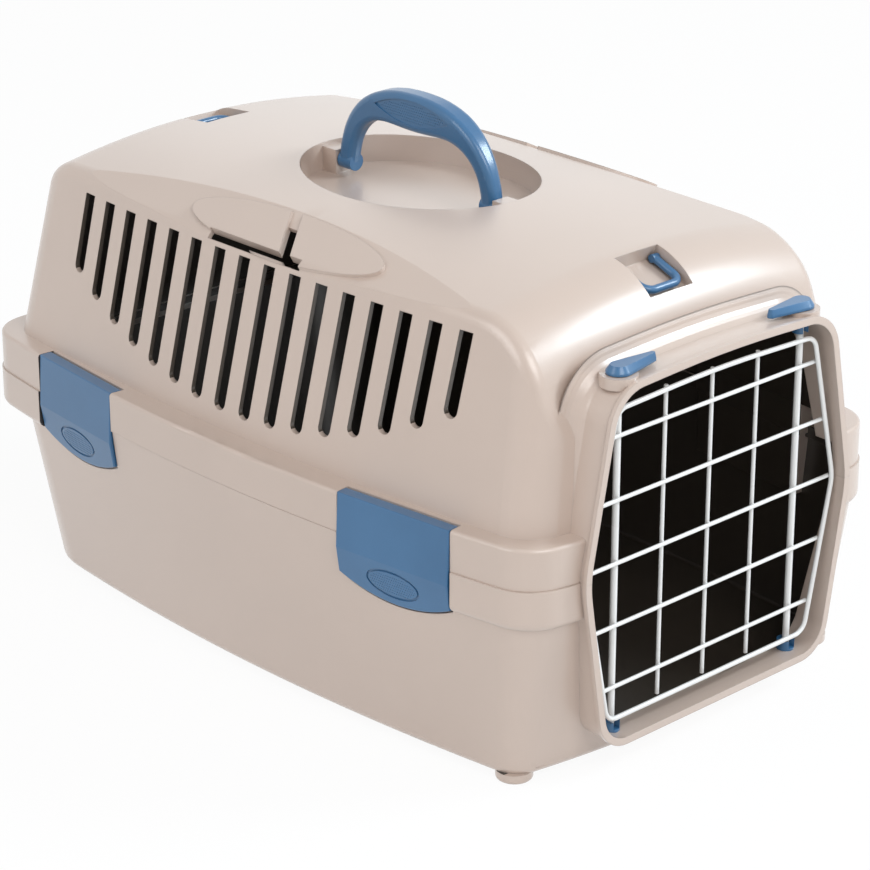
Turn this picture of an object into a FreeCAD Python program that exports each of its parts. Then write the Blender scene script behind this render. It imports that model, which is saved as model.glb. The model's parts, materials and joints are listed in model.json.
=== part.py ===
import FreeCAD, Part
import os
from math import asin, atan2, cos, degrees, radians, sin, tan

V = FreeCAD.Vector
ORIGIN = V(0, 0, 0)
ALONG_X = V(1, 0, 0)
ALONG_Y = V(0, 1, 0)
ALONG_Z = V(0, 0, 1)

# Overall body: lengths in millimetres, angles in degrees, door towards -Y
flange_width = 320.0        # widest, at the middle of the long sides
body_front = -247.0         # front of the bowed flange, carried on across the door opening
body_rear = 244.2           # rear of the flange at the centre line
body_middle = -2.0          # middle of the lid, its fittings and the clips
seam_height = 122.0         # parting line of the two shells above the floor
wall = 3.0                  # shell thickness
side_bow = 21.0             # outward bow of the long sides in plan
front_bow = 13.5            # outward bow of the front end
rear_bow = 3.5              # outward bow of the rear end
overrun = 12.0              # how far cutting tools pass the faces they cut
clear_gap = 0.35            # gap between bodies that move past each other
run_gap = 0.06              # radial play of a pin in its bore

# Upper shell
flange_height = 24.0
flange_corner_radius = 28.0
ledge_width = 11.0          # flat top of the flange outside the lid ends
flange_edge_round = 2.0
lid_foot_width = 287.4      # lid at the flange top, middle of the long sides
lid_side_bow = 13.4         # outward bow of the lid sides
lid_top = 274.0
lid_side_draft = 11.4
lid_end_draft = 6.0
lid_corner_radius = 26.0
crown_radius = 600.0        # crown of the top across the width
crown_sweep = 84.0          # angle of the crowned solid about its axis
dome_radius = 2000.0        # dome of the top along the length
dome_middle = 4.0           # highest point of the dome
front_reach = 173.0         # dome from its highest point to the front shoulder
front_shoulder = 50.0       # radius of the front shoulder
rear_reach = 186.0
rear_shoulder = 32.0
shoulder_slope = 70.0       # steepest slope of the end shoulders
crease_radius = 10.0
shoulder_edge_width = 244.6 # long shoulders: outer edges, before rounding
shoulder_edge_height = 250.0
shoulder_tilt = 28.5        # fall of the long shoulders
shoulder_edge_draft = 14.0
shoulder_edge_round = 10.0
rim_lip_height = 5.0        # tongue of the lower shell inside the lid flange
rim_lip_thickness = 2.0

# Lower shell
base_height = 4.2           # underside of the tub above the floor
tub_side_draft = 6.5
tub_end_draft = 8.0
tub_rear_draft = 11.0
tub_front_corner = 28.0     # corner radii at the seam and at the base
tub_front_base_corner = 18.0
tub_rear_corner = 46.0
tub_rear_base_corner = 50.0
tub_base_bow = 15.0         # outward bow of the long sides at the base
tub_rear_inset = 10.0       # rear wall inside the flange outline at the seam
tub_base_round = 5.0
band_height = 24.0          # corner bands below the seam
band_proud = 0.8
band_edge_round = 5.0
foot_radius = 10.5
foot_round = 2.0
foot_offset = 123.0         # foot centres from the centre line
front_foot_y = -208.0
rear_foot_y = 123.0

# Door opening and its collar
collar_front = -245.0
collar_depth = 34.0
opening_top = 223.5
opening_bottom = 20.5
opening_mid_half = 104.5
opening_top_half = 84.5
opening_low_half = 88.0
opening_arch = 4.0          # rise of the top edge at the middle
opening_arch_radius = 900.0
opening_top_round = 22.0
opening_mid_round = 60.0
opening_low_round = 18.0
collar_rim_depth = 2.6
collar_rim_proud = 1.4
flare_width = 13.0          # concave sweep from the collar into the shell
flare_depth = 15.0
flare_setback = 28.0        # rear end of the sweep behind the collar front
flare_sink = 0.4            # start of the sweep below the collar face
flare_lead = 20.0           # angle at which the sweep leaves the collar
flare_steps = 7

# Vent slots, the same on both sides
slot_count = 16
slot_pitch = 21.5
slot_width = 9.4
slot_middle = 1.2           # middle of the row of slots at mid height
slot_mid_height = 215.0
slot_lean = 3.3             # the slots lean rearwards towards their lower ends
slot_top = 245.0
slot_lowest = 155.5
slot_arc_radius = 331.0     # arc on which the lower slot ends lie

# Belt guide pads on the shoulders
pad_middle = -8.5
pad_length = 160.0
pad_width = 35.0
pad_height = 2.2
pad_rise = 16.0             # pad axis above the outer edge, along the shoulder
belt_slot_width = 5.0
belt_slot_front = -35.0
belt_slot_rear = 44.0
belt_gap_middle = -23.0
belt_gap_width = 9.5
belt_gap_length = 24.0
belt_gap_slant = 15.0       # the gap leans rearwards up the shoulder
belt_slot_drop = 14.7       # belt slot below the long axis of the pad

# Handle recess and carrying handle
recess_half_length = 79.0
recess_half_width = 62.0
recess_floor = 255.5
handle_pivot_height = 264.5
handle_span = 132.0         # over the two feet
handle_rise = 54.0          # pivot line to the top of the grip
handle_grip_drop = 22.0     # height of the grip section at the middle
handle_leg = 11.0           # thickness of a leg
handle_grip_width = 14.5
handle_foot_width = 10.0
handle_foot_radius = 5.4
handle_edge_round = 3.6
handle_panel_length = 62.0
handle_panel_height = 15.0
handle_panel_depth = 1.2
pivot_radius = 3.5
pivot_length = 6.5
bracket_half_width = 6.0
bracket_rise = 6.0          # bracket top above the pivot line

# Strap loops and their pockets
pocket_width = 34.0
pocket_length = 31.0
pocket_depth = 12.0
pocket_reach = 188.0        # pocket centre from the middle of the body
pocket_slope = 21.0
loop_wire_radius = 2.4
loop_length = 22.0
loop_pin_radius = 1.6
loop_pin_length = 2.2
loop_lift = 1.0             # loop above the pocket floor
loop_bend_radius = 7.0
rear_loop_rest = 25.0       # the rear loop stands up a little in its stiff pins

# Side clips
clip_offset = 140.0         # clip centres from the middle of the body
clip_width = 80.0
clip_recess = 0.8           # clip face behind the flange face
clip_plate = 2.6
clip_drop = 32.5            # lowest point of the tongue below the seam
clip_shoulder_drop = 23.5   # tongue corners below the seam
clip_bend_drop = 8.0        # bend line below the seam
clip_bulge = 1.7            # bend line outside the top edge
clip_tuck = 2.2             # lower edge inside the top edge
clip_knuckle_radius = 2.5
clip_pin_radius = 1.6
clip_pin_length = 3.0
clip_lug = 5.0
clip_edge_round = 0.8
clip_margin = 0.9           # gap round the tongue in its pocket
clip_hook_depth = 2.0
clip_hook_height = 3.2
clip_rib_height = 3.0
clip_rib_drop = 8.0
clip_oval_length = 38.0      # oval groove round the finger grip
clip_oval_height = 17.0
clip_oval_depth = 0.8
clip_groove_width = 1.4

# Wire door
grid_pitch = 37.0           # cross wires and uprights
grid_plane = -235.4         # Y of the cross wires
cross_count = 5
upright_count = 3
thin_wire_radius = 1.2
frame_wire_radius = 1.4
rod_radius = 2.0
weld_set = 0.15             # wires sink into each other by this much
ring_top = 212.5
ring_bottom = 30.0
ring_mid_half = 101.0
ring_top_half = 79.5
ring_low_half = 82.0
ring_arch = 3.0
ring_arch_radius = 900.0
ring_top_round = 9.0
ring_mid_round = 25.0
ring_low_round = 9.0
rod_offset = 73.2           # hinge rods from the centre line
rod_bottom = 22.4

# Door levers and rod bushes
lever_boss_radius = 10.5
lever_boss_rise = 3.5       # boss above the visor, clear of the collar rim
lever_head_radius = 7.2
lever_tip_radius = 2.2
lever_reach = 25.5          # pivot to tip centre
lever_height = 4.8
lever_foot_height = 1.4
lever_bevel = 2.3
spindle_radius = 4.6
spindle_drop = 8.0          # spindle below the underside of the visor
rod_socket_depth = 7.0
mouth_gap = 0.5             # socket mouth wider than the rod
bush_radius = 5.2
bush_height = 6.0
bush_base = 1.5
bush_peg_radius = 2.6

flange_top = seam_height + flange_height
half_flange = flange_width / 2
band_bottom = seam_height - band_height
rod_plane = grid_plane + thin_wire_radius + rod_radius - weld_set
visor_top = opening_top + wall


def mirrored(shape):
    return shape.mirror(ORIGIN, ALONG_X)


def solid_of(shape):
    return max(shape.Solids, key=lambda piece: piece.Volume)


def box_between(low, high):
    size = high - low
    return Part.makeBox(size.x, size.y, size.z, low)


def upright_edges(shape):
    return [edge for edge in shape.Edges
            if abs(edge.Vertexes[0].Z - edge.Vertexes[-1].Z) > wall]


def edges_at_height(shape, height):
    return [edge for edge in shape.Edges
            if all(abs(point.z - height) < run_gap for point in edge.discretize(Number=5))]


def bowed_outline(half_width, front, rear, height, side):
    # four bowed edges that meet at sharp corners
    corner_x = half_width - side
    front_left = V(-corner_x, front + front_bow, height)
    front_right = V(corner_x, front + front_bow, height)
    rear_right = V(corner_x, rear - rear_bow, height)
    rear_left = V(-corner_x, rear - rear_bow, height)
    middle = (front + front_bow + rear - rear_bow) / 2
    return Part.Wire([
        Part.Arc(front_left, V(0, front, height), front_right).toShape(),
        Part.Arc(front_right, V(half_width, middle, height), rear_right).toShape(),
        Part.Arc(rear_right, V(0, rear, height), rear_left).toShape(),
        Part.Arc(rear_left, V(-half_width, middle, height), front_left).toShape()])


def drafted_block(lower, upper, corner_radius):
    block = Part.makeLoft([lower, upper], True, True)
    return block.makeFillet(corner_radius, upright_edges(block))


def lid_outline(height, inset):
    rise = height - flange_top
    half_width = lid_foot_width / 2 - rise * tan(radians(lid_side_draft)) - inset
    end = ledge_width + rise * tan(radians(lid_end_draft)) + inset
    return bowed_outline(half_width, body_front + end, body_rear - end, height, lid_side_bow)


def shoulder_points(side, reach, shoulder, inset):
    # end shoulder tangent to the dome, then a steep tail down below the seam
    lean = asin(reach / dome_radius)
    slope = radians(shoulder_slope)
    radius = shoulder - inset
    arm = dome_radius - shoulder
    centre_y = dome_middle + side * arm * sin(lean)
    centre_z = lid_top - dome_radius + arm * cos(lean)
    points = [V(0, centre_y + side * radius * sin(angle), centre_z + radius * cos(angle))
              for angle in (lean, (lean + slope) / 2, slope)]
    run = (points[-1].z - band_bottom) / tan(slope)
    return points + [V(0, points[-1].y + side * run, band_bottom)]


def lid_profile(inset):
    # long profile of the top: dome, two end shoulders and their tails
    front = shoulder_points(-1, front_reach, front_shoulder, inset)
    rear = shoulder_points(1, rear_reach, rear_shoulder, inset)
    crest = V(0, dome_middle, lid_top - inset)
    return Part.Face(Part.Wire([
        Part.LineSegment(front[3], front[2]).toShape(),
        Part.Arc(front[2], front[1], front[0]).toShape(),
        Part.Arc(front[0], crest, rear[0]).toShape(),
        Part.Arc(rear[0], rear[1], rear[2]).toShape(),
        Part.LineSegment(rear[2], rear[3]).toShape(),
        Part.LineSegment(rear[3], front[3]).toShape()]))


def lid_crown(inset):
    axis = V(0, dome_middle, lid_top - crown_radius)
    profile = lid_profile(inset)
    profile.rotate(axis, ALONG_Y, -crown_sweep / 2)
    return profile.revolve(axis, ALONG_Y, crown_sweep)


def crease_edges(block):
    # edges between the steep walls and the crowned top
    chosen = []
    steep_share = 0.3
    for edge in block.Edges:
        slopes = []
        for face in block.ancestorsOfType(edge, Part.Face):
            u_low, u_high, v_low, v_high = face.ParameterRange
            slopes.append(face.normalAt((u_low + u_high) / 2, (v_low + v_high) / 2).z > steep_share)
        lowest = min(vertex.Z for vertex in edge.Vertexes)
        if len(slopes) == 2 and slopes[0] != slopes[1] and lowest > flange_top:
            chosen.append(edge)
    return chosen


def shoulder_corners():
    # cross-section through both long shoulders, closed well above and below them
    half_edge = shoulder_edge_width / 2
    apex = shoulder_edge_height + half_edge * tan(radians(shoulder_tilt))
    spread = (shoulder_edge_height - band_bottom) * tan(radians(shoulder_edge_draft))
    return [(0, apex, shoulder_edge_round),
            (half_edge, shoulder_edge_height, shoulder_edge_round),
            (half_edge + spread, band_bottom, shoulder_edge_round),
            (-half_edge - spread, band_bottom, shoulder_edge_round),
            (-half_edge, shoulder_edge_height, shoulder_edge_round)]


def shoulder_prism(inset):
    wire = rounded_polygon(grown_corners(shoulder_corners(), -inset), body_front - overrun)
    return Part.Face(wire).extrude(ALONG_Y * (body_rear - body_front + 2 * overrun))


def lid_block(inset):
    walls = drafted_block(lid_outline(seam_height, inset),
                          lid_outline(lid_top + overrun, inset), lid_corner_radius - inset)
    block = solid_of(walls.common(lid_crown(inset)))
    block = block.makeFillet(crease_radius - inset, crease_edges(block))
    return solid_of(block.common(shoulder_prism(inset)))


def flange_block(low, high, inset):
    outline = bowed_outline(half_flange - inset, body_front + inset, body_rear - inset, low, side_bow)
    block = Part.Face(outline).extrude(ALONG_Z * (high - low))
    return block.makeFillet(flange_corner_radius - inset, upright_edges(block))


def rounded_outline(outline, front_radius, rear_radius):
    # the same outline with its two front and its two rear corners rounded
    height = outline.Vertexes[0].Z
    plate = Part.Face(outline).extrude(ALONG_Z * overrun)
    for radius, rear in ((front_radius, False), (rear_radius, True)):
        corners = [edge for edge in upright_edges(plate)
                   if (edge.Vertexes[0].Y > body_middle) == rear]
        plate = plate.makeFillet(radius, corners)
    faces = [face for face in plate.Faces if abs(face.BoundBox.ZMax - height) < run_gap]
    return faces[0].OuterWire


def tub_block(low, inset):
    fall = seam_height - low
    side = fall * tan(radians(tub_side_draft)) + inset
    end = fall * tan(radians(tub_end_draft)) + inset
    rear_end = fall * tan(radians(tub_rear_draft)) + inset
    rear = body_rear - tub_rear_inset
    upper = bowed_outline(half_flange - inset, body_front + inset, rear - inset, seam_height, side_bow)
    lower = bowed_outline(half_flange - side, body_front + end, rear - rear_end, low, tub_base_bow)
    upper = rounded_outline(upper, tub_front_corner - inset, tub_rear_corner - inset)
    lower = rounded_outline(lower, tub_front_base_corner - inset, tub_rear_base_corner - inset)
    block = Part.makeLoft([lower, upper], True, True)
    return block.makeFillet(tub_base_round - inset, edges_at_height(block, low))


def rounded_polygon(corners, y):
    # corners are (x, z, radius), clockwise seen from the front, with tangent corner arcs
    edges = []
    starts = []
    count = len(corners)
    for index, (x, z, radius) in enumerate(corners):
        before = corners[index - 1]
        after = corners[(index + 1) % count]
        into = V(x - before[0], 0, z - before[1]).normalize()
        out = V(after[0] - x, 0, after[1] - z).normalize()
        turn = into.getAngle(out)
        tangent = radius * tan(turn / 2)
        corner = V(x, y, z)
        inward = (out - into).normalize()
        middle = corner + inward * (radius / cos(turn / 2) - radius)
        start = corner - into * tangent
        end = corner + out * tangent
        edges.append(Part.Arc(start, middle, end).toShape())
        starts.append((start, end))
    for index, (start, end) in enumerate(starts):
        edges.append(Part.LineSegment(end, starts[(index + 1) % count][0]).toShape())
    return Part.Wire(Part.__sortEdges__(edges))


def grown_corners(corners, grow):
    # the same outline, moved outwards by grow all round
    moved = []
    count = len(corners)
    for index, (x, z, radius) in enumerate(corners):
        before = corners[index - 1]
        after = corners[(index + 1) % count]
        into = V(x - before[0], 0, z - before[1]).normalize()
        out = V(after[0] - x, 0, after[1] - z).normalize()
        normal = V(-into.z, 0, into.x) + V(-out.z, 0, out.x)
        step = normal * (grow / (1 + into.dot(out)))
        moved.append((x + step.x, z + step.z, radius + grow))
    return moved


def opening_corners():
    return [(-opening_top_half, opening_top, opening_top_round),
            (0, opening_top + opening_arch, opening_arch_radius),
            (opening_top_half, opening_top, opening_top_round),
            (opening_mid_half, seam_height, opening_mid_round),
            (opening_low_half, opening_bottom, opening_low_round),
            (-opening_low_half, opening_bottom, opening_low_round),
            (-opening_mid_half, seam_height, opening_mid_round)]


def opening_prism(grow, front, depth):
    wire = rounded_polygon(grown_corners(opening_corners(), grow), front)
    return Part.Face(wire).extrude(ALONG_Y * depth)


def collar_block():
    # straight collar with its rim lip, and the concave sweep behind it
    collar = opening_prism(wall, collar_front, collar_depth)
    rim = opening_prism(wall + collar_rim_proud, collar_front, collar_rim_depth)
    lead = radians(flare_lead)
    wires = []
    for step in range(flare_steps + 1):
        turn = lead + (radians(90) - lead) * step / flare_steps
        grow = wall - flare_sink + flare_width * (cos(lead) - cos(turn))
        y = collar_front + flare_setback - flare_depth * (1 - sin(turn))
        wires.append(rounded_polygon(grown_corners(opening_corners(), grow), y))
    flare = Part.makeLoft(wires, True, True)
    return collar.fuse(rim).fuse(flare)


def above_seam():
    return box_between(V(-flange_width, collar_front - overrun, seam_height),
                       V(flange_width, body_rear + overrun, lid_top + overrun))


def below_seam():
    return box_between(V(-flange_width, collar_front - overrun, -overrun),
                       V(flange_width, body_rear + overrun, seam_height))


def slot_tool(index):
    # one leaning slot through both sides: square top, round lower end on the common arc
    offset = (index - (slot_count - 1) / 2) * slot_pitch
    half = slot_width / 2
    rise = slot_arc_radius - (slot_arc_radius ** 2 - offset ** 2) ** 0.5
    low = slot_lowest + rise + half

    def point(across, height):
        lean = (slot_mid_height - height) * tan(radians(slot_lean))
        return V(0, slot_middle + offset + across + lean, height)

    outline = Part.Wire([
        Part.LineSegment(point(-half, low), point(-half, slot_top)).toShape(),
        Part.LineSegment(point(-half, slot_top), point(half, slot_top)).toShape(),
        Part.LineSegment(point(half, slot_top), point(half, low)).toShape(),
        Part.Arc(point(half, low), point(0, low - half), point(-half, low)).toShape()])
    prism = Part.Face(outline).extrude(ALONG_X * flange_width)
    prism.translate(ALONG_X * -half_flange)
    return prism


def ellipse_face(centre, long_axis, short_axis):
    curve = Part.Ellipse(centre + long_axis, centre + short_axis, centre)
    return Part.Face(Part.Wire(curve.toShape()))


def pad_frame():
    # a point on the pad axis of the left shoulder, the way out of it and the way up it
    tilt = radians(shoulder_tilt)
    outward = V(-sin(tilt), 0, cos(tilt))
    across = V(cos(tilt), 0, sin(tilt))
    edge = V(-shoulder_edge_width / 2, 0, shoulder_edge_height)
    return edge + across * pad_rise, outward, across


def pad_prism():
    point, outward, across = pad_frame()
    centre = point + ALONG_Y * pad_middle + outward * overrun
    face = ellipse_face(centre, ALONG_Y * (pad_length / 2), across * (pad_width / 2))
    return face.extrude(outward * -(2 * overrun))


def shoulder_strip(front, rear, low, high, slant):
    # block through the shoulder, between two heights measured up the slope from the pad axis
    point, outward, across = pad_frame()
    base = point + outward * overrun
    corners = [base + ALONG_Y * a + across * b
               for a, b in ((front, low), (rear, low), (rear + slant, high), (front + slant, high))]
    return Part.Face(Part.makePolygon(corners + corners[:1])).extrude(outward * -(2 * overrun))


def belt_gaps():
    # belt slot along the lower edge of the pad and the gap between its two tabs
    low = -belt_slot_drop - belt_slot_width / 2
    half_gap = belt_gap_width / 2
    slot = shoulder_strip(belt_slot_front, belt_slot_rear, low, low + belt_slot_width, 0)
    gap = shoulder_strip(belt_gap_middle - half_gap, belt_gap_middle + half_gap, low,
                         low + belt_gap_length, belt_gap_slant)
    return slot.fuse(gap)


def belt_notch():
    # the same gap carried on through the whole raised pad, but not through the shell
    low = -belt_slot_drop - belt_slot_width / 2
    half_gap = belt_gap_width / 2
    lean = belt_gap_slant / belt_gap_length
    return shoulder_strip(belt_gap_middle - half_gap, belt_gap_middle + half_gap, low,
                          low + 2 * belt_gap_length, 2 * belt_gap_length * lean)


def recess_prism(grow, low):
    face = ellipse_face(V(0, body_middle, low), ALONG_Y * (recess_half_length + grow),
                        ALONG_X * (recess_half_width + grow))
    return face.extrude(ALONG_Z * (lid_top + overrun - low))


def handle_brackets():
    # blocks at both ends of the recess, bored for the pivots of the handle
    blocks = []
    for side in (-1, 1):
        inner = body_middle + side * (handle_span / 2 + 2 * clear_gap)
        outer = body_middle + side * (recess_half_length + wall)
        block = box_between(V(-bracket_half_width, min(inner, outer), recess_floor - wall),
                            V(bracket_half_width, max(inner, outer), handle_pivot_height + bracket_rise))
        bore = Part.makeCylinder(pivot_radius + run_gap, pivot_length + clear_gap,
                                 V(0, inner, handle_pivot_height), ALONG_Y * side)
        blocks.append((block, bore))
    return blocks


def pocket_place(side):
    # frame of a strap pocket: its floor leans down towards the end of the body
    lean = radians(pocket_slope)
    y = body_middle + side * pocket_reach
    reach = front_reach if side < 0 else rear_reach
    lid_z = lid_top - dome_radius + (dome_radius ** 2 - reach ** 2) ** 0.5
    drop = (pocket_reach - front_reach + pocket_length / 4) * tan(lean / 2)
    return FreeCAD.Placement(V(0, y, lid_z - drop), FreeCAD.Rotation(ALONG_X, -side * pocket_slope))


def pocket_tool(side, grow, low):
    half = V(pocket_width / 2 + grow, pocket_length / 2 + grow, 0)
    tool = box_between(V(-half.x, -half.y, low), V(half.x, half.y, pocket_depth + overrun))
    tool.Placement = pocket_place(side)
    return tool


def pocket_pin_place(side):
    # pin axis of a strap loop, at the inner end of the pocket
    z = -pocket_depth + loop_wire_radius + loop_lift
    y = -side * (pocket_length / 2 - loop_wire_radius - loop_lift)
    return pocket_place(side).multVec(V(0, y, z))


def pocket_bores(side):
    place = pocket_pin_place(side)
    reach = pocket_width / 2 + loop_pin_length + clear_gap
    bore = Part.makeCylinder(loop_pin_radius + run_gap, 2 * reach, V(-reach, 0, 0), ALONG_X)
    bore.translate(place)
    return bore


def clip_places():
    # centre and outward turn of each clip seat, on the bowed flange at the seam
    places = {}
    reach = (body_rear - rear_bow - body_front - front_bow) / 2
    bow_radius = (reach ** 2 + side_bow ** 2) / (2 * side_bow)
    for side_name, side in (("left", -1), ("right", 1)):
        for end_name, end in (("front", -1), ("rear", 1)):
            bow = asin(clip_offset / bow_radius)
            half = half_flange - bow_radius * (1 - cos(bow))
            turn = degrees(atan2(end * sin(bow), side * cos(bow)))
            base = V(side * half, body_middle + end * clip_offset, seam_height)
            places[side_name + "_" + end_name] = FreeCAD.Placement(base, FreeCAD.Rotation(ALONG_Z, turn))
    return places


def clip_axis():
    # knuckle axis in the frame of a clip seat: x outwards, z above the seam
    x = -ledge_width + clip_knuckle_radius + 2 * clear_gap
    return V(x, 0, flange_height - clip_knuckle_radius)


def clip_seat_blocks():
    # solid filling behind a clip, with the lugs that hold its pins, in the seat frame
    half = clip_width / 2 + clear_gap
    inner = -ledge_width - wall
    upper = box_between(V(inner, -half - clip_lug, 0), V(-wall / 2, half + clip_lug, flange_height))
    lower = box_between(V(inner, -half - wall, -clip_drop - 2 * wall), V(-wall / 2, half + wall, 0))
    return upper, lower


def clip_seat_face():
    return -clip_recess - clip_plate - clip_hook_depth - 2 * clear_gap


def clip_upper_cut():
    # room for a clip in the lid flange: plate, top lip, knuckle and pin bores
    axis = clip_axis()
    half = clip_width / 2 + clear_gap
    face = clip_seat_face()
    seat_top = flange_height - clip_plate - clear_gap
    plate = box_between(V(face, -half, 0), V(overrun, half, flange_height + overrun))
    lip = box_between(V(axis.x, -half, seat_top), V(overrun, half, flange_height + overrun))
    trough = Part.makeCylinder(clip_knuckle_radius + clear_gap, 2 * half, axis - ALONG_Y * half, ALONG_Y)
    room = box_between(V(axis.x - clip_knuckle_radius - clear_gap, -half, axis.z),
                       V(axis.x, half, flange_height + overrun))
    reach = clip_width / 2 + clip_pin_length + clear_gap
    bore = Part.makeCylinder(clip_pin_radius + run_gap, 2 * reach, axis - ALONG_Y * reach, ALONG_Y)
    return plate.fuse([lip, trough, room, bore])


def clip_outline(grow):
    # outline of a clip seen from its outside, with a curved lower edge
    half = clip_width / 2 + grow
    top = flange_height
    shoulder = -clip_shoulder_drop - grow
    low = -clip_drop - grow
    return Part.Face(Part.Wire([
        Part.LineSegment(V(0, -half, shoulder), V(0, -half, top)).toShape(),
        Part.LineSegment(V(0, -half, top), V(0, half, top)).toShape(),
        Part.LineSegment(V(0, half, top), V(0, half, shoulder)).toShape(),
        Part.Arc(V(0, half, shoulder), V(0, 0, low), V(0, -half, shoulder)).toShape()]))


def clip_lower_cut():
    pocket = clip_outline(clip_margin)
    pocket.translate(ALONG_X * clip_seat_face())
    return pocket.extrude(ALONG_X * (overrun - clip_seat_face()))


def clip_rib():
    # catch rib on the lower shell that the hook of the clip passes under
    half = clip_width / 4
    face = clip_seat_face()
    return box_between(V(face - wall, -half, -clip_rib_drop - clip_rib_height),
                       V(face + clip_hook_depth, half, -clip_rib_drop))


def lever_axes():
    return {"left": V(-rod_offset, rod_plane, 0), "right": V(rod_offset, rod_plane, 0)}


def lever_boss(axis):
    # round boss on the visor that the lever head turns on, and its spindle bore
    top = visor_top + lever_boss_rise
    boss = Part.makeCylinder(lever_boss_radius, top - opening_top, axis + ALONG_Z * opening_top)
    bore = Part.makeCylinder(spindle_radius + run_gap, top - opening_top + 2 * overrun,
                             axis + ALONG_Z * (opening_top - overrun))
    return boss, bore


def upper_shell():
    outer = lid_block(0)
    flange = flange_block(seam_height, flange_top, 0)
    flange = flange.makeFillet(flange_edge_round, edges_at_height(flange, flange_top))
    collar = collar_block().common(above_seam())
    pad = lid_block(-pad_height).common(pad_prism()).cut(belt_notch())
    body = outer.fuse([flange, collar, pad, mirrored(pad)])

    hollow = lid_block(wall).fuse(flange_block(seam_height, flange_top - wall, wall))
    shell = body.cut(hollow)

    backing = [recess_prism(wall, recess_floor - wall)]
    backing += [pocket_tool(side, wall, -pocket_depth - wall) for side in (-1, 1)]
    inner_walls = [tool.common(outer) for tool in backing]
    seats = []
    for place in clip_places().values():
        seat = clip_seat_blocks()[0]
        seat.Placement = place
        seats.append(seat.common(flange.fuse(outer)))
    bosses = [lever_boss(axis) for axis in lever_axes().values()]
    shell = shell.fuse(inner_walls + seats + [boss for boss, bore in bosses])

    cuts = [opening_prism(0, collar_front - overrun, collar_depth + 2 * overrun)]
    cuts += [slot_tool(index) for index in range(slot_count)]
    gaps = belt_gaps()
    cuts += [gaps, mirrored(gaps)]
    cuts += [recess_prism(0, recess_floor)]
    cuts += [pocket_tool(side, 0, -pocket_depth) for side in (-1, 1)]
    cuts += [pocket_bores(side) for side in (-1, 1)]
    cuts += [bore for boss, bore in bosses]
    for place in clip_places().values():
        cut = clip_upper_cut()
        cut.Placement = place
        cuts.append(cut)
    shell = shell.cut(cuts)
    for block, bore in handle_brackets():
        shell = shell.fuse(block).cut(bore)
    return solid_of(shell)


def lower_shell():
    tub = tub_block(base_height, 0)
    band = flange_block(band_bottom, seam_height, -band_proud)
    band = band.makeFillet(band_edge_round, edges_at_height(band, band_bottom))
    reach = clip_offset + clip_width / 2 + clear_gap
    middle = box_between(V(-flange_width, body_middle - reach, 0),
                         V(flange_width, body_middle + reach, lid_top))
    collar = collar_block().common(below_seam())
    body = tub.fuse([band.cut(middle), collar])

    hollow = tub_block(base_height + wall, wall)
    shell = body.cut(hollow)
    lip_top = seam_height + rim_lip_height
    lip = flange_block(seam_height - wall, lip_top, wall + clear_gap)
    lip = lip.cut(flange_block(seam_height - wall, lip_top, wall + clear_gap + rim_lip_thickness))
    shell = shell.fuse(lip)

    seats = []
    cuts = [opening_prism(0, collar_front - overrun, collar_depth + 2 * overrun)]
    ribs = []
    for place in clip_places().values():
        seat = clip_seat_blocks()[1]
        cut = clip_lower_cut().fuse(clip_seat_blocks()[0])
        rib = clip_rib()
        for piece in (seat, cut, rib):
            piece.Placement = place
        seats.append(seat.common(tub))
        cuts.append(cut)
        ribs.append(rib)
    shell = shell.fuse(seats).cut(cuts).fuse(ribs)

    pegs = []
    for axis in lever_axes().values():
        pegs.append(Part.makeCylinder(bush_peg_radius, overrun, axis + ALONG_Z * (opening_bottom - wall)))
    return solid_of(shell.cut(pegs).fuse(feet()))


def feet():
    pieces = []
    for y in (front_foot_y, rear_foot_y):
        for x in (-foot_offset, foot_offset):
            foot = Part.makeCylinder(foot_radius, base_height + wall / 2, V(x, y, 0))
            pieces.append(foot.makeFillet(foot_round, edges_at_height(foot, 0)))
    return pieces


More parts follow.
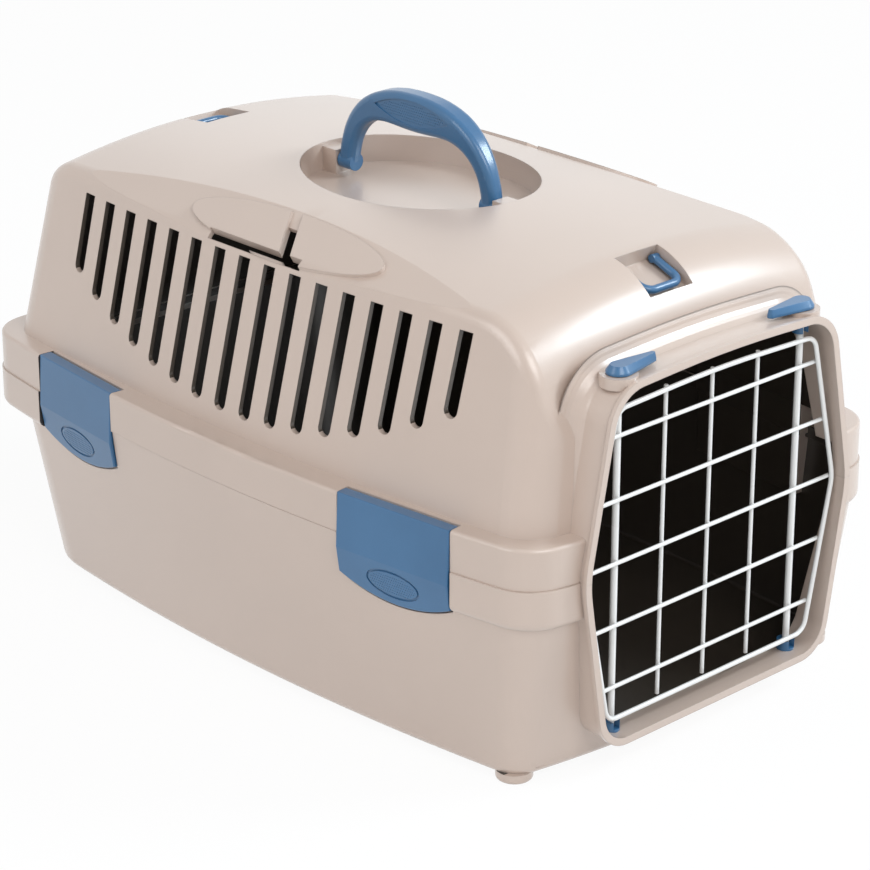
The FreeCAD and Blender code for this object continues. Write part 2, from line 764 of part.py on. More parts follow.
def side_clip():
    # in the seat frame: knuckle, top lip, bent plate and curved tongue with a hook
    axis = clip_axis()
    half = clip_width / 2
    face = -clip_recess
    outer = [(axis.x, flange_height), (face, flange_height), (face + clip_bulge, -clip_bend_drop),
             (face - clip_tuck, -clip_drop)]
    inner = [(face - clip_tuck - clip_plate, -clip_drop), (face + clip_bulge - clip_plate, -clip_bend_drop),
             (face - clip_plate, flange_height - clip_plate), (axis.x, flange_height - clip_plate)]
    corners = [V(x, -half, z) for x, z in outer + inner]
    profile = Part.Face(Part.makePolygon(corners + corners[:1])).extrude(ALONG_Y * clip_width)

    prism = clip_outline(0).extrude(ALONG_X * (2 * overrun))
    prism.translate(ALONG_X * (-ledge_width - overrun / 2))
    plate = profile.common(prism)

    face_edges = [edge for edge in plate.Edges
                  if min(vertex.X for vertex in edge.Vertexes) > face - clip_tuck - run_gap]
    plate = plate.makeFillet(clip_edge_round, face_edges)

    knuckle = Part.makeCylinder(clip_knuckle_radius, clip_width, axis - ALONG_Y * half, ALONG_Y)
    pin_half = half + clip_pin_length
    pin = Part.makeCylinder(clip_pin_radius, 2 * pin_half, axis - ALONG_Y * pin_half, ALONG_Y)
    hook_top = -clip_rib_drop - clip_rib_height - clear_gap
    plate_back = face + clip_bulge - clip_plate
    hook = box_between(V(plate_back - clip_hook_depth, -half / 2, hook_top - clip_hook_height),
                       V(face - clip_plate / 2, half / 2, hook_top))

    middle_z = -(clip_bend_drop + clip_drop) / 2
    middle = V(face + clip_bulge, 0, middle_z)
    ovals = []
    for inset in (0, clip_groove_width):
        oval = ellipse_face(middle, ALONG_Y * (clip_oval_length / 2 - inset),
                            ALONG_Z * (clip_oval_height / 2 - inset))
        ovals.append(oval.extrude(ALONG_X * -(clip_oval_depth + (clip_bulge + clip_tuck) / 2)))
    groove = ovals[0].cut(ovals[1])
    tongue_lean = degrees(atan2(clip_bulge + clip_tuck, clip_drop - clip_bend_drop))
    groove.rotate(middle, ALONG_Y, tongue_lean)
    return solid_of(plate.fuse([knuckle, pin, hook]).cut(groove))


def handle_curve(shares, reach, base, rise):
    # smooth bow through symmetrical points, given as shares of its reach and rise
    points = [V(0, body_middle - reach * a, base + rise * b) for a, b in shares]
    points += [V(0, body_middle + reach * a, base + rise * b) for a, b in reversed(shares[:-1])]
    curve = Part.BSplineCurve()
    curve.interpolate(points)
    return curve.toShape(), points


def carry_handle():
    outer_shares = [(1.0, 0.0), (0.985, 0.2), (0.90, 0.47), (0.70, 0.76), (0.38, 0.95), (0.0, 1.0)]
    inner_shares = [(1.0, 0.0), (0.965, 0.3), (0.84, 0.72), (0.60, 0.97), (0.30, 1.0), (0.0, 0.98)]
    reach = handle_span / 2
    base = handle_pivot_height
    outer, outer_points = handle_curve(outer_shares, reach, base, handle_rise)
    inner, inner_points = handle_curve(inner_shares, reach - handle_leg, base, handle_rise - handle_grip_drop)
    feet_lines = [Part.LineSegment(outer_points[0], inner_points[0]).toShape(),
                  Part.LineSegment(inner_points[-1], outer_points[-1]).toShape()]
    bow = Part.Face(Part.Wire(Part.__sortEdges__([outer, inner] + feet_lines)))
    solid = bow.extrude(ALONG_X * handle_grip_width)
    solid.translate(ALONG_X * (-handle_grip_width / 2))

    # the bow narrows from the grip to the feet
    half_grip = handle_grip_width / 2
    half_foot = handle_foot_width / 2
    top = base + handle_rise + overrun
    neck = base + (handle_rise - handle_grip_drop) / 2
    front = [V(-half_foot, 0, base), V(-half_foot, 0, neck), V(-half_grip, 0, top - handle_grip_drop),
             V(-half_grip, 0, top), V(half_grip, 0, top), V(half_grip, 0, top - handle_grip_drop),
             V(half_foot, 0, neck), V(half_foot, 0, base)]
    front = [point + ALONG_Y * (body_middle - reach - overrun) for point in front]
    taper = Part.Face(Part.makePolygon(front + front[:1])).extrude(ALONG_Y * (handle_span + 2 * overrun))
    solid = solid_of(solid.common(taper))
    solid = solid.makeFillet(handle_edge_round, bow_edges(solid))

    pieces = []
    for side in (-1, 1):
        end = V(0, body_middle + side * reach, base)
        pieces.append(Part.makeCylinder(handle_foot_radius, handle_leg, end, ALONG_Y * -side))
        pieces.append(Part.makeCylinder(pivot_radius, pivot_length + handle_leg / 2,
                                        end - ALONG_Y * (side * handle_leg / 2), ALONG_Y * side))
    solid = solid.fuse(pieces)
    return solid_of(solid.cut(grip_panels()))


def bow_edges(solid):
    # long edges of the bow, on both flanks
    half_foot = handle_foot_width / 2
    span_share = 0.5
    return [edge for edge in solid.Edges if edge.Length > handle_span * span_share
            and min(abs(vertex.X) for vertex in edge.Vertexes) > half_foot - run_gap]


def grip_panels():
    # shallow spindle-shaped panels on both flanks of the grip
    height = handle_pivot_height + handle_rise - handle_grip_drop / 2
    half_length = handle_panel_length / 2
    half_height = handle_panel_height / 2
    tips = [V(0, body_middle - half_length, height), V(0, body_middle + half_length, height)]
    outline = Part.Wire([
        Part.Arc(tips[0], V(0, body_middle, height + half_height), tips[1]).toShape(),
        Part.Arc(tips[1], V(0, body_middle, height - half_height), tips[0]).toShape()])
    half_grip = handle_grip_width / 2
    panel = Part.Face(outline).extrude(ALONG_X * (half_grip + overrun))
    panel.translate(ALONG_X * (half_grip - handle_panel_depth))
    return [panel, mirrored(panel)]


def strap_loop(side):
    # U-shaped bail over the sloping pocket floor, with pins in the pocket walls
    half = pocket_width / 2 - loop_wire_radius - 2 * clear_gap
    inward = loop_length - loop_bend_radius
    bend = loop_bend_radius
    turn = bend * (1 - cos(radians(45)))
    far = loop_length
    path = Part.Wire([
        Part.LineSegment(V(-half, 0, 0), V(-half, inward, 0)).toShape(),
        Part.Arc(V(-half, inward, 0), V(-half + turn, far - turn, 0), V(-half + bend, far, 0)).toShape(),
        Part.LineSegment(V(-half + bend, far, 0), V(half - bend, far, 0)).toShape(),
        Part.Arc(V(half - bend, far, 0), V(half - turn, far - turn, 0), V(half, inward, 0)).toShape(),
        Part.LineSegment(V(half, inward, 0), V(half, 0, 0)).toShape()])
    bail = swept_tube(path, loop_wire_radius, V(-half, 0, 0), ALONG_Y)
    eyes = []
    for end in (-1, 1):
        eye = Part.makeCylinder(loop_wire_radius, 2 * loop_wire_radius,
                                V(end * half - loop_wire_radius, 0, 0), ALONG_X)
        pin_start = V(end * half, 0, 0)
        pin_length = loop_wire_radius + 2 * clear_gap + loop_pin_length
        eyes += [eye, Part.makeCylinder(loop_pin_radius, pin_length, pin_start, ALONG_X * end)]
    bail = solid_of(bail.fuse(eyes))
    if side < 0:
        bail.rotate(ORIGIN, ALONG_Z, 180)
    else:
        bail.rotate(ORIGIN, ALONG_X, rear_loop_rest)
    bail.rotate(ORIGIN, ALONG_X, -side * pocket_slope)
    bail.translate(pocket_pin_place(side))
    return bail


def swept_tube(path, radius, start, direction):
    section = Part.Wire(Part.makeCircle(radius, start, direction))
    return path.makePipeShell([section], True, False)


def ring_corners():
    return [(-ring_top_half, ring_top, ring_top_round),
            (0, ring_top + ring_arch, ring_arch_radius),
            (ring_top_half, ring_top, ring_top_round),
            (ring_mid_half, seam_height, ring_mid_round),
            (ring_low_half, ring_bottom, ring_low_round),
            (-ring_low_half, ring_bottom, ring_low_round),
            (-ring_mid_half, seam_height, ring_mid_round)]


def ring_half_width(height):
    # half width of the ring centre line at a height
    if height > seam_height:
        share = (height - seam_height) / (ring_top - seam_height)
        return ring_mid_half + (ring_top_half - ring_mid_half) * share
    share = (seam_height - height) / (seam_height - ring_bottom)
    return ring_mid_half + (ring_low_half - ring_mid_half) * share


def door_ring():
    y = grid_plane - thin_wire_radius - frame_wire_radius + weld_set
    path = rounded_polygon(ring_corners(), y)
    start = path.OrderedEdges[0].valueAt(path.OrderedEdges[0].FirstParameter)
    direction = path.OrderedEdges[0].tangentAt(path.OrderedEdges[0].FirstParameter)
    return solid_of(swept_tube(path, frame_wire_radius, start, direction))


def cross_wire(index):
    height = seam_height + (index - (cross_count - 1) / 2) * grid_pitch
    half = ring_half_width(height)
    return Part.makeCylinder(thin_wire_radius, 2 * half, V(-half, grid_plane, height), ALONG_X)


def upright_wire(index):
    x = (index - (upright_count - 1) / 2) * grid_pitch
    y = grid_plane + 2 * thin_wire_radius - weld_set
    top = ring_top + ring_arch / 2
    return Part.makeCylinder(thin_wire_radius, top - ring_bottom, V(x, y, ring_bottom), ALONG_Z)


def hinge_rod(axis):
    top = opening_top - spindle_drop + rod_socket_depth - clear_gap
    rod = Part.makeCylinder(rod_radius, top - rod_bottom, axis + ALONG_Z * rod_bottom)
    return rod.makeFillet(rod_radius / 4, edges_at_height(rod, top) + edges_at_height(rod, rod_bottom))


def front_mouth(axis, low, height):
    # bore for a rod with a mouth that opens towards the front
    bore = Part.makeCylinder(rod_radius + run_gap, height, axis + ALONG_Z * low)
    half = rod_radius + mouth_gap / 2
    mouth = box_between(axis + V(-half, -overrun, low), axis + V(half, 0, low + height))
    return bore.fuse(mouth)


def latch_lever(axis):
    # teardrop lever with a bevelled top, on a spindle that holds the rod end
    inward = -1 if axis.x > 0 else 1
    low = visor_top + lever_boss_rise + clear_gap

    def teardrop(shrink, height):
        head = lever_head_radius - shrink
        tip = lever_tip_radius - shrink * lever_tip_radius / lever_head_radius
        lean = asin((head - tip) / lever_reach)
        far = V(lever_reach, 0, 0)
        head_low = V(head * sin(lean), -head * cos(lean), 0)
        head_high = V(head * sin(lean), head * cos(lean), 0)
        tip_low = far + V(tip * sin(lean), -tip * cos(lean), 0)
        tip_high = far + V(tip * sin(lean), tip * cos(lean), 0)
        wire = Part.Wire([
            Part.Arc(head_high, V(-head, 0, 0), head_low).toShape(),
            Part.LineSegment(head_low, tip_low).toShape(),
            Part.Arc(tip_low, far + ALONG_X * tip, tip_high).toShape(),
            Part.LineSegment(tip_high, head_high).toShape()])
        wire.translate(ALONG_Z * height)
        return wire

    base = Part.Face(teardrop(0, 0)).extrude(ALONG_Z * lever_foot_height)
    cap = Part.makeLoft([teardrop(0, lever_foot_height), teardrop(lever_bevel, lever_height)], True, True)
    body = base.fuse(cap)
    if inward < 0:
        body = mirrored(body)
    body.translate(axis + ALONG_Z * low)
    bottom = opening_top - spindle_drop
    spindle = Part.makeCylinder(spindle_radius, low - bottom + lever_foot_height, axis + ALONG_Z * bottom)
    body = body.fuse(spindle).cut(front_mouth(axis, bottom, rod_socket_depth))
    return solid_of(body.removeSplitter())


def rod_bush(axis):
    # open-fronted bush on the collar floor, with a peg in the shell
    base = axis + ALONG_Z * opening_bottom
    ring = Part.makeCylinder(bush_radius, bush_height, base)
    ring = ring.common(opening_prism(0, collar_front, collar_depth))
    peg = Part.makeCylinder(bush_peg_radius, wall, base - ALONG_Z * wall)
    low = opening_bottom + bush_base
    return solid_of(ring.fuse(peg).cut(front_mouth(axis, low, bush_height)))


def build_parts():
    parts = {"lower_shell": lower_shell(), "upper_shell": upper_shell(), "carry_handle": carry_handle()}
    for name, place in clip_places().items():
        clip = side_clip()
        clip.Placement = place
        parts["clip_" + name] = clip
    parts["strap_loop_front"] = strap_loop(-1)
    parts["strap_loop_rear"] = strap_loop(1)
    parts["door_ring"] = door_ring()
    for index in range(cross_count):
        parts["door_cross_wire_%d" % (index + 1)] = cross_wire(index)
    for index in range(upright_count):
        parts["door_upright_%d" % (index + 1)] = upright_wire(index)
    for name, axis in lever_axes().items():
        parts["door_rod_" + name] = hinge_rod(axis)
        parts["door_lever_" + name] = latch_lever(axis)
        parts["rod_bush_" + name] = rod_bush(axis)
    return parts


os.makedirs("parts", exist_ok=True)
for node, shape in build_parts().items():
    box = shape.BoundBox
    print("%-20s solids %d valid %s volume %.1f  x %.1f %.1f  y %.1f %.1f  z %.1f %.1f" % (
        node, len(shape.Solids), shape.isValid(), shape.Volume,
        box.XMin, box.XMax, box.YMin, box.YMax, box.ZMin, box.ZMax))
    shape.exportStep("parts/%s.step" % node)
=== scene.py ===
import json
import math
import bpy
import bmesh
from mathutils import Matrix, Vector
from mathutils.bvhtree import BVHTree


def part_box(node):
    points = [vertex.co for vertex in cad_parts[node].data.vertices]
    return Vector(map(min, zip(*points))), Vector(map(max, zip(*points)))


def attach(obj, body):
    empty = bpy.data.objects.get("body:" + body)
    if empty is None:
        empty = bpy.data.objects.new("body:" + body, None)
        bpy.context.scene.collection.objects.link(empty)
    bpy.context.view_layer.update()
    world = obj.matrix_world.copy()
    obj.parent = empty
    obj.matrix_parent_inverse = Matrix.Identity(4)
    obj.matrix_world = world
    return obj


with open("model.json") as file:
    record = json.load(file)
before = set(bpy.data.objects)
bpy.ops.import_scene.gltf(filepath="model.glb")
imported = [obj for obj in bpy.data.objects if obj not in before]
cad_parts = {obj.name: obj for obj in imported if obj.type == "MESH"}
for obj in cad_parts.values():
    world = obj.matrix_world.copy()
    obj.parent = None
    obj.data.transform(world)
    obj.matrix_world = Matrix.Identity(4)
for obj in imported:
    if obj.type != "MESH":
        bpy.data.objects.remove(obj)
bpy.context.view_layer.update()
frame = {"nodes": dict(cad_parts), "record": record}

scene = bpy.context.scene
scene.view_settings.view_transform = "Standard"
print("carrier loaded:", len(frame["nodes"]), "nodes")

# camera where the picture was taken from
viewpoint = {"azimuth": -43.41, "elevation": 22.41, "distance": 1.8593, "clipEnd": 50,
             "target": (0.0, -0.01505, 0.1091), "lens": 128.276, "sensor": 36.0}


def placeCamera(s):
    a, e = math.radians(s["azimuth"]), math.radians(s["elevation"])
    back = Vector((math.sin(a) * math.cos(e), -math.cos(a) * math.cos(e), math.sin(e)))
    data = bpy.data.cameras.new("photoCamera")
    data.lens = s["lens"]
    data.sensor_width = s["sensor"]
    data.clip_end = s["clipEnd"]
    cam = bpy.data.objects.new("photoCamera", data)
    cam.location = Vector(s["target"]) + back * s["distance"]
    cam.rotation_euler = (-back).to_track_quat("-Z", "Y").to_euler()
    scene.collection.objects.link(cam)
    scene.camera = cam


placeCamera(viewpoint)
print("camera set")


# small helpers for node trees
def newGroup(name, inputs, outputs):
    group = bpy.data.node_groups.new(name, "ShaderNodeTree")
    for way, sockets in (("INPUT", inputs), ("OUTPUT", outputs)):
        for label, kind in sockets:
            group.interface.new_socket(label, in_out=way, socket_type=kind)
    return group, group.nodes.new("NodeGroupInput"), group.nodes.new("NodeGroupOutput")


def addNode(tree, kind, **values):
    node = tree.nodes.new(kind)
    for key, value in values.items():
        setattr(node, key, value)
    return node


def mathNode(tree, operation, *values):
    node = addNode(tree, "ShaderNodeMath", operation=operation)
    for socket, value in zip(node.inputs, values):
        if isinstance(value, (int, float)):
            socket.default_value = value
        else:
            tree.links.new(value, socket)
    return node.outputs[0]


# 1 where every test holds, 0 elsewhere
def maskWhere(tree, *tests):
    mask = None
    for value, operation, limit in tests:
        test = mathNode(tree, operation, value, limit)
        mask = test if mask is None else mathNode(tree, "MULTIPLY", mask, test)
    return mask


# moulded plastic: fine satin grain, soft patches of tone, uneven gloss
mould = {"grainDetail": 3, "grainRough": 0.6, "patchDetail": 5, "patchRough": 0.55, "patchLow": 0.3,
         "patchHigh": 0.7, "grainShare": 0.5, "toneShare": 0.66, "edgeSamples": 4}


def addNoise(group, coord, scale, detail, rough):
    noise = addNode(group, "ShaderNodeTexNoise")
    noise.inputs["Detail"].default_value = detail
    noise.inputs["Roughness"].default_value = rough
    group.links.new(coord, noise.inputs["Vector"])
    group.links.new(scale, noise.inputs["Scale"])
    return noise.outputs["Fac"]


def makeMouldGrain(s):
    group, gin, gout = newGroup("mouldGrain", [
        ("Light", "NodeSocketColor"), ("Dark", "NodeSocketColor"),
        ("Grain Scale", "NodeSocketFloat"), ("Patch Scale", "NodeSocketFloat"),
        ("Rough Low", "NodeSocketFloat"), ("Rough High", "NodeSocketFloat")],
        [("Colour", "NodeSocketColor"), ("Roughness", "NodeSocketFloat"), ("Height", "NodeSocketFloat")])
    link = group.links.new
    coord = addNode(group, "ShaderNodeTexCoord").outputs["Object"]
    grain = addNoise(group, coord, gin.outputs["Grain Scale"], s["grainDetail"], s["grainRough"])
    patch = addNoise(group, coord, gin.outputs["Patch Scale"], s["patchDetail"], s["patchRough"])
    ramp = addNode(group, "ShaderNodeMapRange")
    ramp.inputs["From Min"].default_value = s["patchLow"]
    ramp.inputs["From Max"].default_value = s["patchHigh"]
    link(patch, ramp.inputs["Value"])
    speck = mathNode(group, "MULTIPLY_ADD", grain, s["grainShare"], ramp.outputs["Result"])
    share = mathNode(group, "MULTIPLY", speck, s["toneShare"])
    tone = addNode(group, "ShaderNodeMix", data_type="RGBA")
    link(share, tone.inputs["Factor"])
    link(gin.outputs["Dark"], tone.inputs["A"])
    link(gin.outputs["Light"], tone.inputs["B"])
    link(tone.outputs["Result"], gout.inputs["Colour"])
    gloss = addNode(group, "ShaderNodeMapRange")
    link(patch, gloss.inputs["Value"])
    link(gin.outputs["Rough Low"], gloss.inputs["To Min"])
    link(gin.outputs["Rough High"], gloss.inputs["To Max"])
    link(gloss.outputs["Result"], gout.inputs["Roughness"])
    link(grain, gout.inputs["Height"])
    return group


mouldGrain = makeMouldGrain(mould)


def grainMaterial(name, s):
    mat = bpy.data.materials.new(name)
    mat.use_nodes = True
    tree = mat.node_tree
    shader = tree.nodes["Principled BSDF"]
    grain = addNode(tree, "ShaderNodeGroup", node_tree=mouldGrain)
    for label, key in (("Light", "light"), ("Dark", "dark")):
        grain.inputs[label].default_value = (*s[key], 1)
    for label, key in (("Grain Scale", "grainScale"), ("Patch Scale", "patchScale"),
                       ("Rough Low", "roughLow"), ("Rough High", "roughHigh")):
        grain.inputs[label].default_value = s[key]
    bump = addNode(tree, "ShaderNodeBump")
    bump.inputs["Strength"].default_value = s["bump"]
    bump.inputs["Distance"].default_value = s["bumpDepth"]
    edge = addNode(tree, "ShaderNodeBevel", samples=mould["edgeSamples"])
    edge.inputs["Radius"].default_value = s["edgeRound"]
    tree.links.new(edge.outputs["Normal"], bump.inputs["Normal"])
    tree.links.new(grain.outputs["Height"], bump.inputs["Height"])
    tree.links.new(bump.outputs["Normal"], shader.inputs["Normal"])
    tree.links.new(grain.outputs["Roughness"], shader.inputs["Roughness"])
    tree.links.new(grain.outputs["Colour"], shader.inputs["Base Color"])
    shader.inputs["Specular IOR Level"].default_value = s["specular"]
    shader.inputs["Coat Weight"].default_value = s["coat"]
    shader.inputs["Coat Roughness"].default_value = s["coatRough"]
    return mat, tree, shader, grain


# painted shade on the interior of the two shells: faces that look at the middle of the cabin, behind the
# collar, are coloured near-black where the beige plastic only lies in shade
cabin = {"centreHeight": 0.13, "halfWidth": 0.16, "halfHeight": 0.14, "halfLength": 0.245,
         "sideLimit": -0.45, "endLimit": -0.6, "top": 0.2532, "collarEnd": -0.2105,
         # colour: near-black painted shade of the interior; slot colour: dark brown painted shade of the
         # slot walls
         "colour": (0.034, 0.026, 0.019), "slotLow": 0.15, "slotTop": 0.2465, "slotEnd": 0.178,
         "slotOut": 0.10, "slotFacing": 0.75, "slotShadeColour": (0.066, 0.050, 0.037),
         "roofLow": 0.2, "roofFacing": -0.6, "pocketHalf": 0.02, "pocketLow": 0.238, "pocketFacing": -0.3}


def paintedShadeMask(tree, s):
    coord = addNode(tree, "ShaderNodeTexCoord")
    place = addNode(tree, "ShaderNodeSeparateXYZ")
    facing = addNode(tree, "ShaderNodeSeparateXYZ")
    tree.links.new(coord.outputs["Object"], place.inputs[0])
    tree.links.new(coord.outputs["Normal"], facing.inputs[0])
    x, y, z = place.outputs
    nx, ny, nz = facing.outputs
    out, along, frontal = (mathNode(tree, "ABSOLUTE", value) for value in (x, y, ny))
    # below zero where a face looks at the middle of the cabin
    side = mathNode(tree, "DIVIDE", mathNode(tree, "MULTIPLY", x, nx), s["halfWidth"])
    lift = mathNode(tree, "SUBTRACT", z, s["centreHeight"])
    rise = mathNode(tree, "DIVIDE", mathNode(tree, "MULTIPLY", lift, nz), s["halfHeight"])
    end = mathNode(tree, "DIVIDE", mathNode(tree, "MULTIPLY", y, ny), s["halfLength"])
    walls = mathNode(tree, "LESS_THAN", mathNode(tree, "ADD", side, rise), s["sideLimit"])
    ends = mathNode(tree, "LESS_THAN", end, s["endLimit"])
    low = mathNode(tree, "LESS_THAN", z, s["top"])
    roof = maskWhere(tree, (nz, "LESS_THAN", s["roofFacing"]), (z, "GREATER_THAN", s["roofLow"]))
    behind = mathNode(tree, "GREATER_THAN", y, s["collarEnd"])
    # faces of the cabin interior, which get the painted shade
    interiorShadeMask = mathNode(tree, "MULTIPLY", mathNode(tree, "MAXIMUM", walls, ends), low)
    interiorShadeMask = mathNode(tree, "MULTIPLY", mathNode(tree, "MAXIMUM", interiorShadeMask, roof), behind)
    # the strap pockets are left out of the painted shade and keep the shell colour
    pocket = maskWhere(tree, (out, "LESS_THAN", s["pocketHalf"]), (z, "GREATER_THAN", s["pocketLow"]),
                       (nz, "GREATER_THAN", s["pocketFacing"]))
    interiorShadeMask = mathNode(tree, "MULTIPLY", interiorShadeMask, mathNode(tree, "SUBTRACT", 1, pocket))
    # painted shade on the walls of the vent slot openings: dark brown where the slot walls only lie in
    # shade
    slotWallShadeMask = maskWhere(tree, (frontal, "GREATER_THAN", s["slotFacing"]), (out, "GREATER_THAN", s["slotOut"]),
                      (along, "LESS_THAN", s["slotEnd"]), (z, "GREATER_THAN", s["slotLow"]),
                      (z, "LESS_THAN", s["slotTop"]))
    return interiorShadeMask, slotWallShadeMask


shellLook = {"light": (0.560, 0.452, 0.388), "dark": (0.515, 0.412, 0.352), "grainScale": 1500.0,
             "patchScale": 7.0, "roughLow": 0.32, "roughHigh": 0.44, "bump": 0.10, "bumpDepth": 0.0004,
             "specular": 0.6, "coat": 1.0, "coatRough": 0.26, "edgeRound": 0.0010}


def makeShellPlastic(s, interiorShade):
    mat, tree, shader, grain = grainMaterial("creamShellPlasticAndPaintedShade", s)
    interiorShadeMask, slotWallShadeMask = paintedShadeMask(tree, interiorShade)
    colour = grain.outputs["Colour"]
    # mix the painted interior shade, then the painted slot-wall shade, into the shell colour
    for mask, key in ((interiorShadeMask, "colour"), (slotWallShadeMask, "slotShadeColour")):
        mix = addNode(tree, "ShaderNodeMix", data_type="RGBA")
        tree.links.new(mask, mix.inputs["Factor"])
        tree.links.new(colour, mix.inputs["A"])
        mix.inputs["B"].default_value = (*interiorShade[key], 1)
        colour = mix.outputs["Result"]
    tree.links.new(colour, shader.inputs["Base Color"])
    return mat


fittingLook = {"light": (0.044, 0.155, 0.318), "dark": (0.027, 0.115, 0.248), "grainScale": 1800.0,
               "patchScale": 14.0, "roughLow": 0.26, "roughHigh": 0.38, "bump": 0.08, "bumpDepth": 0.0003,
               "specular": 0.45, "coat": 0.4, "coatRough": 0.16, "edgeRound": 0.0007}
wireLook = {"light": (0.80, 0.80, 0.79), "dark": (0.72, 0.72, 0.71), "grainScale": 700.0,
            "patchScale": 30.0, "roughLow": 0.22, "roughHigh": 0.36, "bump": 0.12, "bumpDepth": 0.0003,
            "specular": 0.5, "coat": 0.3, "coatRough": 0.2, "edgeRound": 0.0002}

finishes = {"shell": makeShellPlastic(shellLook, cabin),
            "fitting": grainMaterial("blueFittingPlastic", fittingLook)[0],
            "wire": grainMaterial("coatedWire", wireLook)[0]}
print("materials made:", ", ".join(finishes))

# each node takes the finish of its slot
for entry in frame["record"]["subparts"]:
    mesh = frame["nodes"][entry["node"]].data
    mesh.materials.clear()
    mesh.materials.append(finishes[entry["material_slot"]])
print("nodes dressed")


def addPiece(name, bm, slot, body):
    for face in bm.faces:
        face.smooth = True
    mesh = bpy.data.meshes.new(name)
    bm.to_mesh(mesh)
    bm.free()
    mesh.materials.append(finishes[slot])
    piece = bpy.data.objects.new(name, mesh)
    scene.collection.objects.link(piece)
    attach(piece, body)


def boxMiddle(name):
    low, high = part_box(name)
    return (low + high) / 2


# weld beads at the back of the cross wires, where the uprights and the rods touch them
welds = {"standing": ("door_rod_", "door_upright_"), "crossing": "door_cross_wire_",
         "radius": 0.00135, "flat": 0.7, "steps": 2}


def makeWelds(s):
    crossing = sorted(name for name in frame["nodes"] if name.startswith(s["crossing"]))
    low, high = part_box(crossing[0])
    back = boxMiddle(crossing[0]).y + (high.z - low.z) / 2
    bm = bmesh.new()
    for x in sorted(boxMiddle(name).x for name in frame["nodes"] if name.startswith(s["standing"])):
        for z in (boxMiddle(name).z for name in crossing):
            place = Matrix.Translation((x, back, z)) @ Matrix.Diagonal((1, s["flat"], 1, 1))
            bmesh.ops.create_icosphere(bm, subdivisions=s["steps"], radius=s["radius"], matrix=place)
    addPiece("doorWelds", bm, "wire", "door")


makeWelds(welds)
print("weld beads on the door")

# stippled finger grips in the ovals of the clips and on both flanks of the handle
stipple = {"radius": 0.00045, "flat": 0.6, "steps": 1, "pitch": 0.0016, "stagger": 0.5, "standOff": 0.05,
           "clipHalf": (0.0165, 0.0062), "clipLift": 0.01225,
           "handleHalf": (0.026, 0.0052), "handleDrop": 0.0112}
upward = Vector((0, 0, 1))


# rows of dots inside an oval, set on the node's surface behind it
def addDots(bm, name, centre, along, outward, half, s):
    mesh = frame["nodes"][name].data
    faces = [tuple(face.vertices) for face in mesh.polygons]
    tree = BVHTree.FromPolygons([v.co for v in mesh.vertices], faces)
    columns, rows = int(half[0] / s["pitch"]), int(half[1] / s["pitch"])
    for row in range(-rows, rows + 1):
        for column in range(-columns, columns + 1):
            u, v = (column + s["stagger"] * (row % 2)) * s["pitch"], row * s["pitch"]
            if (u / half[0]) ** 2 + (v / half[1]) ** 2 > 1:
                continue
            start = centre + along * u + upward * v + outward * s["standOff"]
            spot, normal = tree.ray_cast(start, -outward)[:2]
            if spot is None:
                continue
            turn = normal.to_track_quat("Z", "Y").to_matrix().to_4x4()
            place = Matrix.Translation(spot) @ turn @ Matrix.Diagonal((1, 1, s["flat"], 1))
            bmesh.ops.create_icosphere(bm, subdivisions=s["steps"], radius=s["radius"], matrix=place)


def makeClipGrips(s):
    for joint in frame["record"]["behaviour"]["joints"]:
        clip = joint["child"]
        if not clip.startswith("clip_"):
            continue
        centre = boxMiddle(clip)
        centre.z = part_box(clip)[0].z + s["clipLift"]
        along = Vector(joint["axis"])
        outward = along.cross(upward)
        if outward.x * centre.x < 0:
            outward.negate()
        bm = bmesh.new()
        addDots(bm, clip, centre, along, outward, s["clipHalf"], s)
        addPiece("gripDots_" + clip, bm, "fitting", clip)


def makeHandleGrip(s):
    name = "carry_handle"
    centre = boxMiddle(name)
    centre.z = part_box(name)[1].z - s["handleDrop"]
    bm = bmesh.new()
    for side in (-1, 1):
        addDots(bm, name, centre, Vector((0, 1, 0)), Vector((side, 0, 0)), s["handleHalf"], s)
    addPiece("gripDots_handle", bm, "fitting", "handle")


makeClipGrips(stipple)
makeHandleGrip(stipple)
print("finger grips stippled")

# pale floor and soft studio light, each lamp with its place, width, watts and tint
studio = {"floorSize": 8.0, "floorWhite": 0.9, "floorGlow": 0.93, "ambient": 0.5,
          "white": (1, 1, 1), "cool": (0.82, 0.93, 1.0), "aim": (0, 0, 0.13),
          "lamps": [("keyLamp", (-0.6, -2.3, 2.2), 1.6, 33.0, "white"),
                    ("sideLamp", (-2.4, 0.3, 1.5), 1.6, 18.0, "white"),
                    ("frontLamp", (1.5, -1.25, 1.6), 0.8, 33.0, "cool"),
                    ("rearLamp", (1.7, 1.8, 1.2), 1.3, 1.0, "white")]}


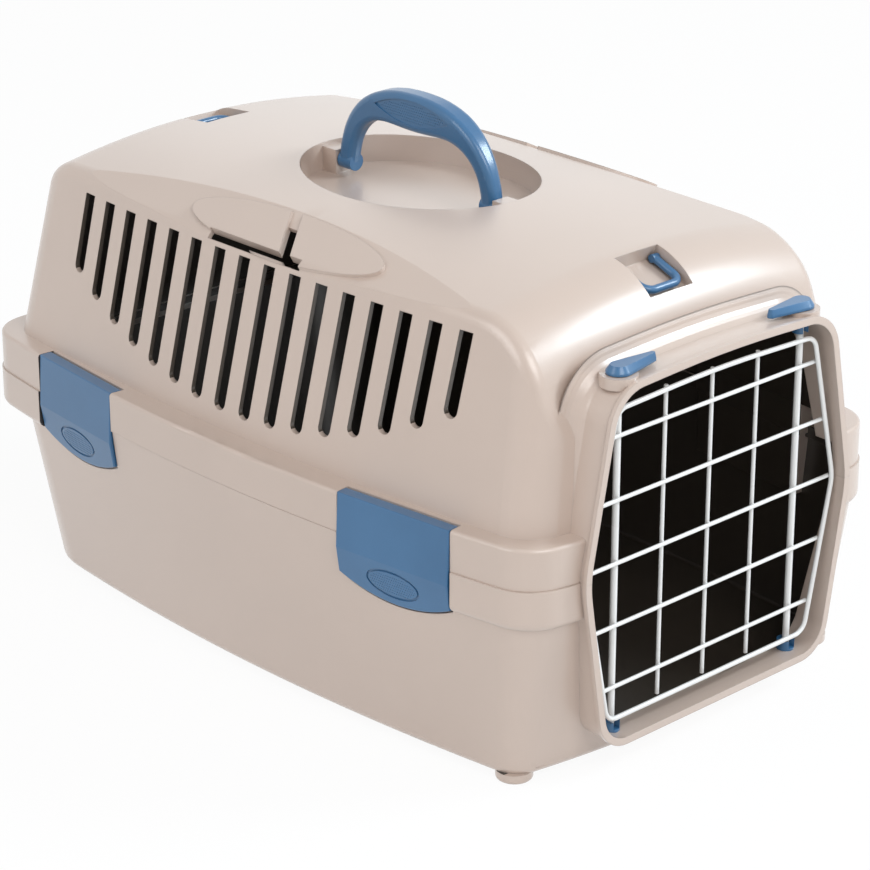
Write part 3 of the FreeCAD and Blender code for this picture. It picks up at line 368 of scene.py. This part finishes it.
def backdropRay(tree):
    ray = addNode(tree, "ShaderNodeLightPath")
    seen = mathNode(tree, "MAXIMUM", ray.outputs["Is Camera Ray"], ray.outputs["Is Glossy Ray"])
    return mathNode(tree, "MAXIMUM", seen, ray.outputs["Is Transmission Ray"])


def makeFloor(s):
    bm = bmesh.new()
    bmesh.ops.create_grid(bm, x_segments=1, y_segments=1, size=s["floorSize"] / 2)
    mesh = bpy.data.meshes.new("studioFloor")
    bm.to_mesh(mesh)
    bm.free()
    floor = bpy.data.objects.new("studioFloor", mesh)
    scene.collection.objects.link(floor)
    mat = bpy.data.materials.new("paleFloor")
    mat.use_nodes = True
    tree = mat.node_tree
    tree.nodes.clear()
    out = addNode(tree, "ShaderNodeOutputMaterial")
    paint = addNode(tree, "ShaderNodeBsdfDiffuse")
    paint.inputs["Color"].default_value = (s["floorWhite"],) * 3 + (1,)
    glow = addNode(tree, "ShaderNodeEmission")
    mix = addNode(tree, "ShaderNodeMixShader")
    tree.links.new(mathNode(tree, "MULTIPLY", backdropRay(tree), s["floorGlow"]), mix.inputs["Fac"])
    tree.links.new(paint.outputs[0], mix.inputs[1])
    tree.links.new(glow.outputs[0], mix.inputs[2])
    tree.links.new(mix.outputs[0], out.inputs["Surface"])
    mesh.materials.append(mat)


def makeWorld(s):
    world = bpy.data.worlds.new("paleStudio")
    scene.world = world
    world.use_nodes = True
    tree = world.node_tree
    sky = tree.nodes["Background"]
    sky.inputs["Color"].default_value = (1, 1, 1, 1)
    strength = mathNode(tree, "MAXIMUM", backdropRay(tree), s["ambient"])
    tree.links.new(strength, sky.inputs["Strength"])


def makeLamps(s):
    for name, place, size, power, tint in s["lamps"]:
        data = bpy.data.lights.new(name, "AREA")
        data.shape = "DISK"
        data.size = size
        data.energy = power
        data.color = s[tint]
        lamp = bpy.data.objects.new(name, data)
        lamp.location = place
        lamp.rotation_euler = (Vector(s["aim"]) - Vector(place)).to_track_quat("-Z", "Y").to_euler()
        scene.collection.objects.link(lamp)


makeFloor(studio)
makeWorld(studio)
makeLamps(studio)
print("studio lit")
